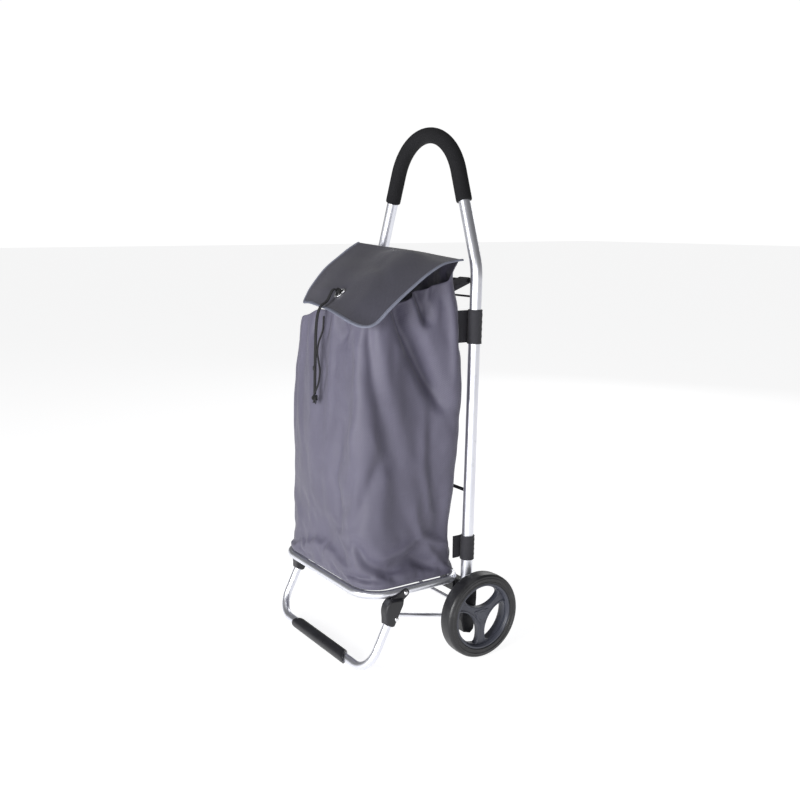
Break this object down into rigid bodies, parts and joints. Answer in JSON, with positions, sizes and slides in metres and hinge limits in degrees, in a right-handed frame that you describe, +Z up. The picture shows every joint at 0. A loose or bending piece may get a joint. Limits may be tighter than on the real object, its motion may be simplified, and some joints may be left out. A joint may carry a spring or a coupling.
{
  "type": "folding shopping trolley",
  "caption": "Two-wheel shopping trolley: fabric bag with a drawstring flap on an aluminium frame whose base loop and front stand fold up against the handle.",
  "frame": {"origin": "on the floor under the middle of the object's box", "axes": "+X to the right seen from the front, -Y towards the front stand, +Z up"},
  "size_m": [0.4368, 0.3326, 0.9989],
  "materials": {
    "aluminium": "satin drawn tube",
    "black_plastic": "moulded, fine satin grain",
    "foam": "closed-cell foam grip, matt",
    "tyre": "smooth moulded tyre with a soft sheen",
    "rim": "dark grey moulded rim, satin",
    "rivet_steel": "bright rivets, eyelet and axle",
    "bag_fabric": "coated grey-violet polyester, fine weave, soft sheen",
    "flap_fabric": "coated grey-violet polyester, a little darker",
    "binding": "light grey woven edge binding",
    "webbing": "dark woven webbing",
    "cord": "black braided cord"
  },
  "bodies": {
    "root": {"handle_tube": "aluminium", "handle_grip": "foam", "upper_cross_rod": "black_plastic", "bag_wire": "black_plastic", "lower_cross_rod": "black_plastic", "rear_bracket_right": "black_plastic", "rear_bracket_left": "black_plastic", "wheel_axle": "rivet_steel", "axle_clip_right": "rivet_steel", "axle_clip_left": "rivet_steel", "link_pin_right": "rivet_steel", "link_pin_left": "rivet_steel", "bag_shell": "bag_fabric", "base_panel": "webbing", "strap_upper_right": "webbing", "strap_upper_left": "webbing", "strap_lower_right": "webbing", "strap_lower_left": "webbing", "hanger_loop_right": "webbing", "hanger_loop_left": "webbing"},
    "base": {"base_loop": "aluminium", "hinge_rivet_right": "rivet_steel", "hinge_rivet_left": "rivet_steel"},
    "stand": {"stand_tube": "aluminium", "hinge_socket_right": "black_plastic", "hinge_socket_left": "black_plastic", "socket_rivet_right": "rivet_steel", "socket_rivet_left": "rivet_steel", "foot_sleeve": "black_plastic"},
    "links": {"link_rod_right": "aluminium", "link_rod_left": "aluminium"},
    "wheel_right": {"tyre_right": "tyre", "wheel_rim_right": "rim", "hub_cap_right": "rim"},
    "wheel_left": {"tyre_left": "tyre", "wheel_rim_left": "rim", "hub_cap_left": "rim"},
    "flap": {"flap": "flap_fabric", "flap_binding": "binding", "eyelet": "rivet_steel", "drawstring_a": "cord", "drawstring_b": "cord", "drawstring_c": "cord", "cord_knot": "cord"}
  },
  "joints": [
    {"name": "base_fold", "type": "hinge", "parent": "root", "child": "base", "pos_m": [0, 0.0585, 0.151], "axis": [-1, 0, 0], "range_deg": [0, 80], "deforming": ["bag_shell", "base_panel"]},
    {"name": "stand_swing", "type": "hinge", "parent": "base", "child": "stand", "pos_m": [0, -0.0713, 0.151], "axis": [1, 0, 0], "range_deg": [0, 100]},
    {"name": "link_swing", "type": "hinge", "parent": "root", "child": "links", "pos_m": [0, 0.066, 0.06654], "axis": [-1, 0, 0], "range_deg": [0, 62.48]},
    {"name": "wheel_right_spin", "type": "hinge", "parent": "root", "child": "wheel_right", "pos_m": [0.202, 0.082, 0.0825], "axis": [1, 0, 0], "continuous": true},
    {"name": "wheel_left_spin", "type": "hinge", "parent": "root", "child": "wheel_left", "pos_m": [-0.202, 0.082, 0.0825], "axis": [1, 0, 0], "continuous": true},
    {"name": "flap_open", "type": "hinge", "parent": "root", "child": "flap", "pos_m": [0, 0.0525, 0.756], "axis": [-1, 0, 0], "range_deg": [0, 110]}
  ],
  "couplings": [
    {"joint": "stand_swing", "follows": "base_fold", "ratio": 1.25},
    {"joint": "link_swing", "follows": "base_fold", "ratio": 0.781}
  ]
}
